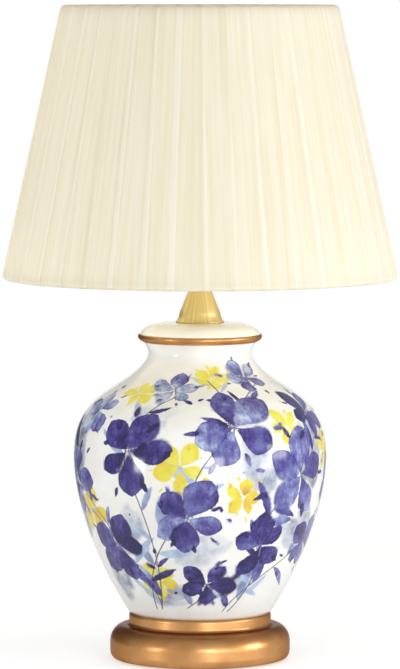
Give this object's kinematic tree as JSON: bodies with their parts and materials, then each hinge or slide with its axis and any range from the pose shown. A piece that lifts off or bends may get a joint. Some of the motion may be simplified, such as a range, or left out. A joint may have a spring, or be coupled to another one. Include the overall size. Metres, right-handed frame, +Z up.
{
  "type": "table lamp",
  "caption": "Porcelain table lamp: painted jar on a turned bronze-gold base, brass cone, switched lampholder, bulb and a pleated tapered shade.",
  "frame": {"origin": "on the table, under the lamp's axis", "axes": "+Z up along the lamp's axis; -Y is the front, away from the cord inlet; +X carries the switch knob"},
  "size_m": [0.3986, 0.3986, 0.662],
  "materials": {
    "felt": "dark green wool felt",
    "gilt_wood": "turned wood in bronze-gold satin paint",
    "ivory_plastic": "moulded ivory plastic",
    "zinc_steel": "zinc-plated steel",
    "cushion_rubber": "soft black rubber",
    "porcelain": "white glazed porcelain, painted with flowers under a clear gloss glaze",
    "cream_lacquer": "turned wood in smooth cream lacquer",
    "brass": "spun brass with fine vertical brushing",
    "steatite": "unglazed white ceramic",
    "white_wire": "white powder-coated steel wire",
    "shade_lining": "translucent white lining sheet",
    "organza": "sheer cream pleated organza",
    "black_glass": "black glass insulator",
    "nickel_cap": "nickel-plated cap",
    "bulb_white": "white plastic housing",
    "opal_plastic": "opal diffuser"
  },
  "bodies": {
    "lamp": {"felt_pad": "felt", "base_plinth": "gilt_wood", "cord_inlet_bush": "ivory_plastic", "base_washer": "zinc_steel", "base_nut": "zinc_steel", "hollow_rod": "zinc_steel", "jar_cushion": "cushion_rubber", "jar": "porcelain", "neck_ring": "gilt_wood", "lid": "cream_lacquer", "lid_washer": "zinc_steel", "lid_nut": "brass", "neck_cone": "brass", "cone_bush": "brass", "holder_cap": "brass", "holder_body": "ivory_plastic", "holder_insert": "steatite", "screw_shell": "brass", "centre_contact": "brass", "terminal_screws": "brass"},
    "switch": {"switch_spindle": "brass", "switch_knob": "ivory_plastic"},
    "ring_nut": {"shade_ring_nut": "ivory_plastic"},
    "shade": {"shade_spider": "white_wire", "shade_bottom_ring": "white_wire", "shade_top_ring": "white_wire", "shade_liner": "shade_lining", "pleated_shade": "organza"},
    "bulb": {"bulb_contact": "zinc_steel", "bulb_insulator": "black_glass", "bulb_screw_cap": "nickel_cap", "bulb_housing": "bulb_white", "bulb_globe": "opal_plastic"}
  },
  "joints": [
    {"name": "shade_turn", "type": "hinge", "parent": "lamp", "child": "shade", "pos_m": [0, 0, 0.43265], "axis": [0, 0, 1], "continuous": true},
    {"name": "ring_nut_turn", "type": "hinge", "parent": "lamp", "child": "ring_nut", "pos_m": [0, 0, 0.4366], "axis": [0, 0, 1], "continuous": true},
    {"name": "switch_turn", "type": "hinge", "parent": "lamp", "child": "switch", "pos_m": [0.0235, 0, 0.408], "axis": [1, 0, 0], "continuous": true},
    {"name": "bulb_out", "type": "slide", "parent": "lamp", "child": "bulb", "axis": [0, 0, 1], "range_m": [0, 0.03]}
  ]
}
